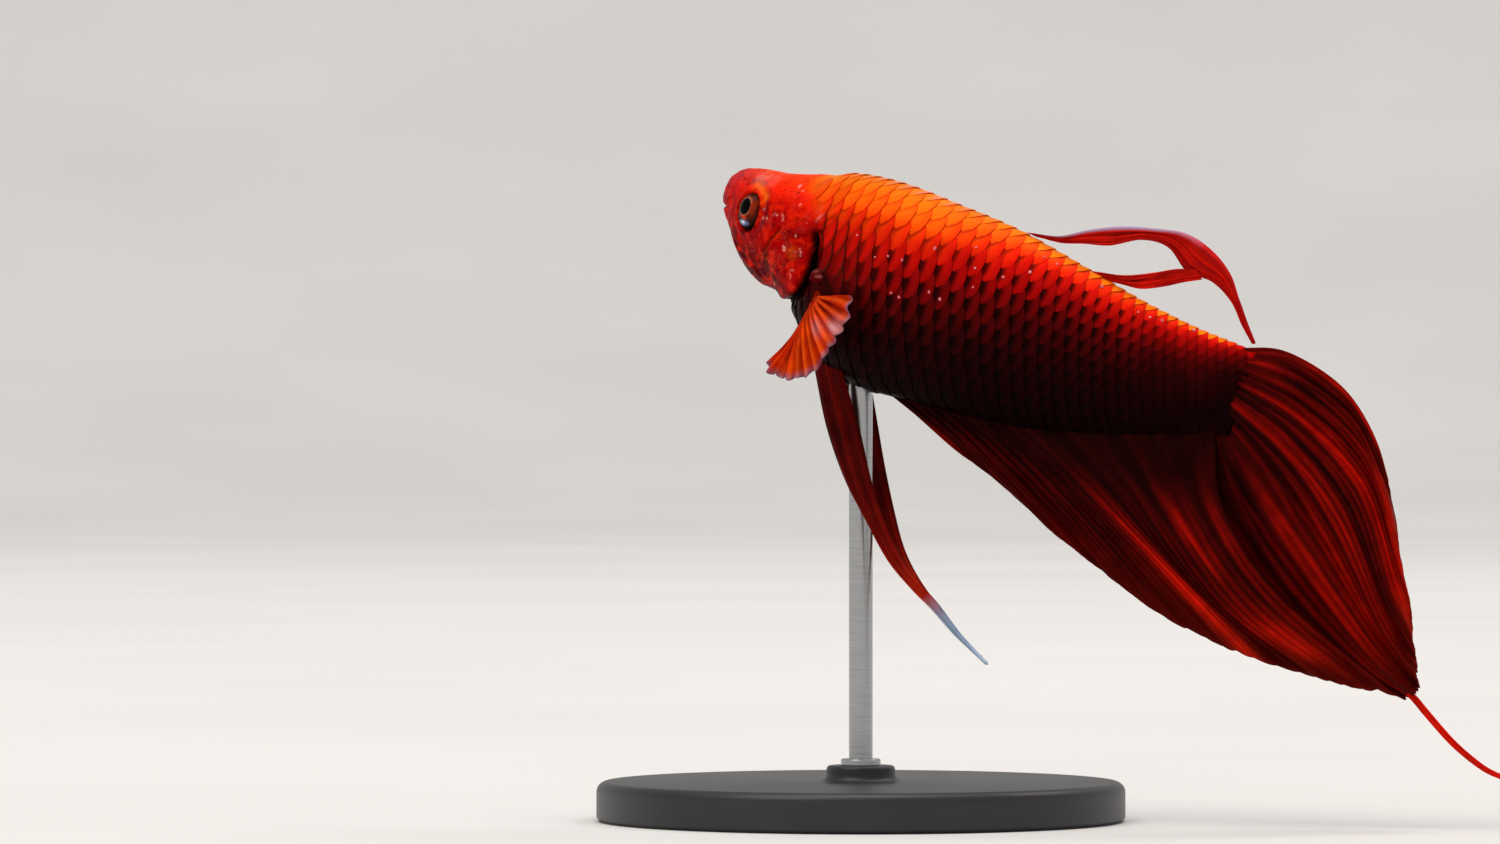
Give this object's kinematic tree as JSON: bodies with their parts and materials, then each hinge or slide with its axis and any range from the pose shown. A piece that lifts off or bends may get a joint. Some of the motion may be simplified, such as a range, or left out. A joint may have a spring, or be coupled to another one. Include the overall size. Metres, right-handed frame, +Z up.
{
  "type": "betta fish model",
  "caption": "Life-size still model of a male veiltail betta fish with long flowing fins, nose up and body gently bent, held on a round display stand by a slim rod.",
  "frame": {"origin": "middle of the stand's underside, on the floor", "axes": "+Z up, +X from the fish's nose towards its tail, -Y out of the fish's left side"},
  "size_m": [0.0706, 0.04, 0.0496],
  "materials": {
    "head_skin": "moist fish skin, red with violet-pink lips",
    "body_skin": "moist scaled skin, orange back running to deep red flanks",
    "eye": "glossy cornea over a black pupil and a copper iris",
    "long_fins": "thin moist dark red membrane between bright red rays",
    "pectoral_fins": "thin moist orange membrane with a lilac margin",
    "stand_paint": "satin charcoal paint",
    "stand_steel": "fine brushed steel"
  },
  "bodies": {
    "root": {"head": "head_skin", "gill_cover_left": "head_skin", "gill_cover_right": "head_skin", "trunk_front": "body_skin", "trunk_rear": "body_skin", "tail_root": "body_skin", "eye_left": "eye", "eye_right": "eye", "dorsal_fin_front": "long_fins", "dorsal_fin_rear": "long_fins", "caudal_fin": "long_fins", "caudal_streamer": "long_fins", "anal_fin": "long_fins", "pelvic_fin_left": "long_fins", "pelvic_fin_right": "long_fins", "pectoral_fin_left": "pectoral_fins", "pectoral_fin_right": "pectoral_fins", "stand_base": "stand_paint", "stand_rod": "stand_steel"}
  },
  "joints": []
}
